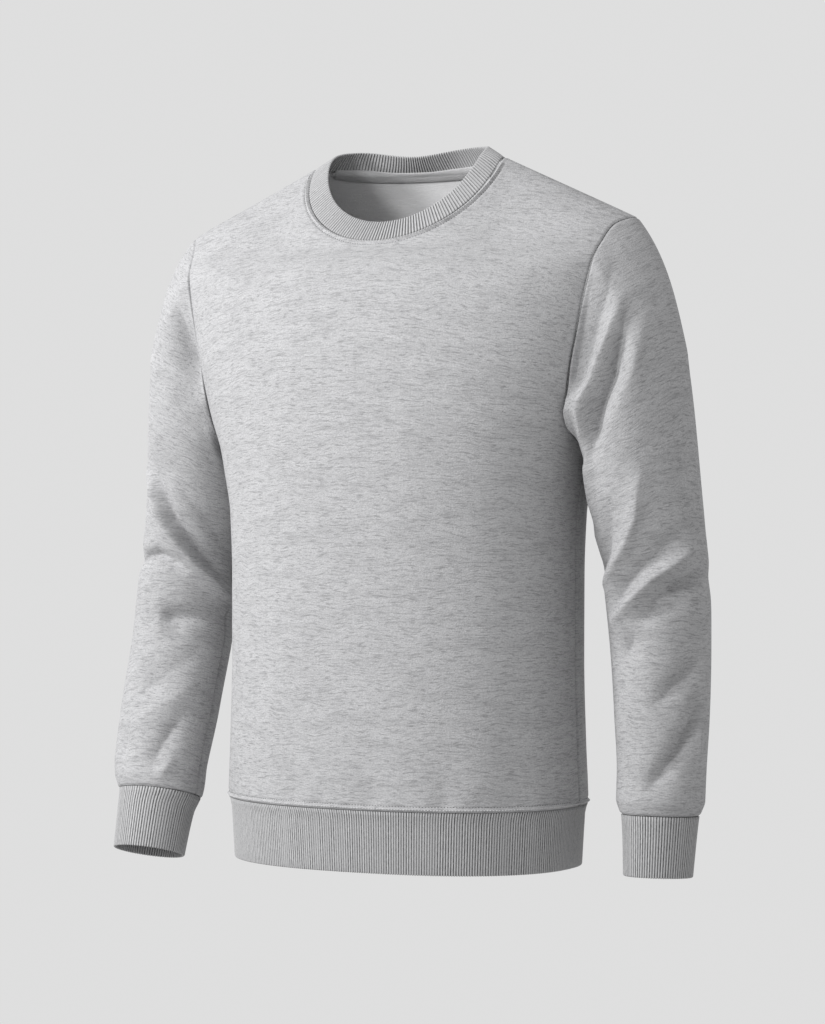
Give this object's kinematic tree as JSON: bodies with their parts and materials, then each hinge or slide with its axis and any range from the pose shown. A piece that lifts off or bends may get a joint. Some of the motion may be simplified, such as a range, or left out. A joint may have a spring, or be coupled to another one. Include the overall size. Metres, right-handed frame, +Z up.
{
  "type": "crewneck sweatshirt",
  "caption": "Grey heather crewneck sweatshirt with set-in sleeves and rib collar, cuffs and waistband, filled out and hollow.",
  "frame": {"origin": "midway between the two points where the neck seam meets the shoulder seams, where the wearer's shoulders hold the garment", "axes": "+Z up, -Y is the wearer's front, +X is the wearer's left"},
  "size_m": [0.6204, 0.245, 0.7034],
  "materials": {
    "fleece": "grey heather brushed-back fleece jersey, matt, with short darker and lighter flecks along the courses",
    "rib": "grey heather rib knit, matt",
    "tape": "grey self-fabric tape, matt",
    "thread": "matt polyester sewing thread"
  },
  "bodies": {
    "root": {"front": "fleece", "back": "fleece", "left_sleeve": "fleece", "right_sleeve": "fleece", "neck_rib": "rib", "neck_tape": "tape", "hem_rib": "rib", "left_cuff": "rib", "right_cuff": "rib"}
  },
  "joints": []
}
